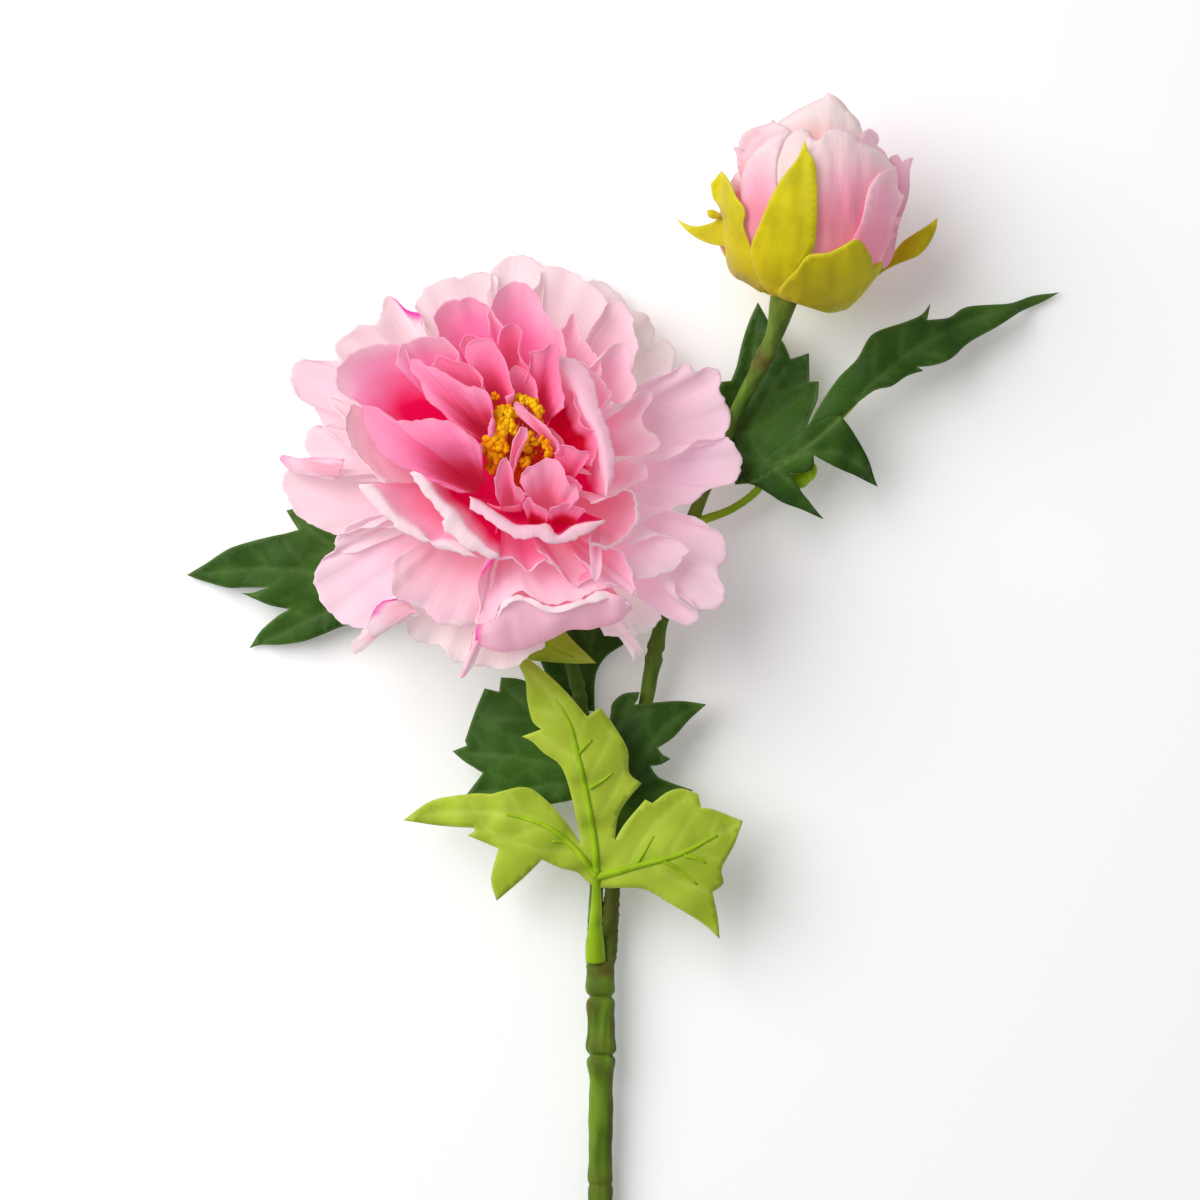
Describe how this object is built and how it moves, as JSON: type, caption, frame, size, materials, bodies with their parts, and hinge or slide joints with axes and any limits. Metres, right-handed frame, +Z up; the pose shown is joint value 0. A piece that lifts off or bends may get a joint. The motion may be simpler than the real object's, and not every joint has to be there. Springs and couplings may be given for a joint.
{
  "type": "artificial peony spray",
  "caption": "Artificial peony spray lying flat: an open ruffled bloom and a bud on a forked plastic-covered wire stem with cut leaves.",
  "frame": {"origin": "bottom centre of the part's box, as it lies on a flat surface", "axes": "+Y along the stem from its cut end towards the bud, +Z up from the surface it lies on, +X to the right seen from above"},
  "size_m": [0.244, 0.4766, 0.0659],
  "materials": {
    "petal": "matt woven polyester, pale rims and deep pink bases",
    "stamen": "matt, granular golden yellow",
    "calyx": "moulded, satin",
    "sepal": "matt woven polyester, yellow-green",
    "lime_leaf": "matt woven polyester, the pale back of a leaf",
    "leaf": "matt woven polyester, dark green with paler veins",
    "rib": "moulded, satin",
    "stem": "moulded, mottled green and brown",
    "wire": "cut steel wire"
  },
  "bodies": {
    "root": {"main_stem": "stem", "stem_wire": "wire", "bloom_stalk": "stem", "bud_stalk": "stem", "bloom_petals": "petal", "bloom_stamens": "stamen", "bloom_calyx": "calyx", "bud_petals": "petal", "bud_sepals": "sepal", "leaf_lime_blade": "lime_leaf", "leaf_lime_rib": "rib", "leaf_right_blade": "leaf", "leaf_right_rib": "rib", "leaf_left_blade": "leaf", "leaf_left_rib": "rib", "leaf_centre_left_blade": "leaf", "leaf_centre_left_rib": "rib", "leaf_centre_right_blade": "leaf", "leaf_centre_right_rib": "rib", "leaf_under_bloom_blade": "leaf", "leaf_under_bloom_rib": "rib", "leaf_bract_blade": "lime_leaf", "leaf_bract_rib": "rib"}
  },
  "joints": []
}
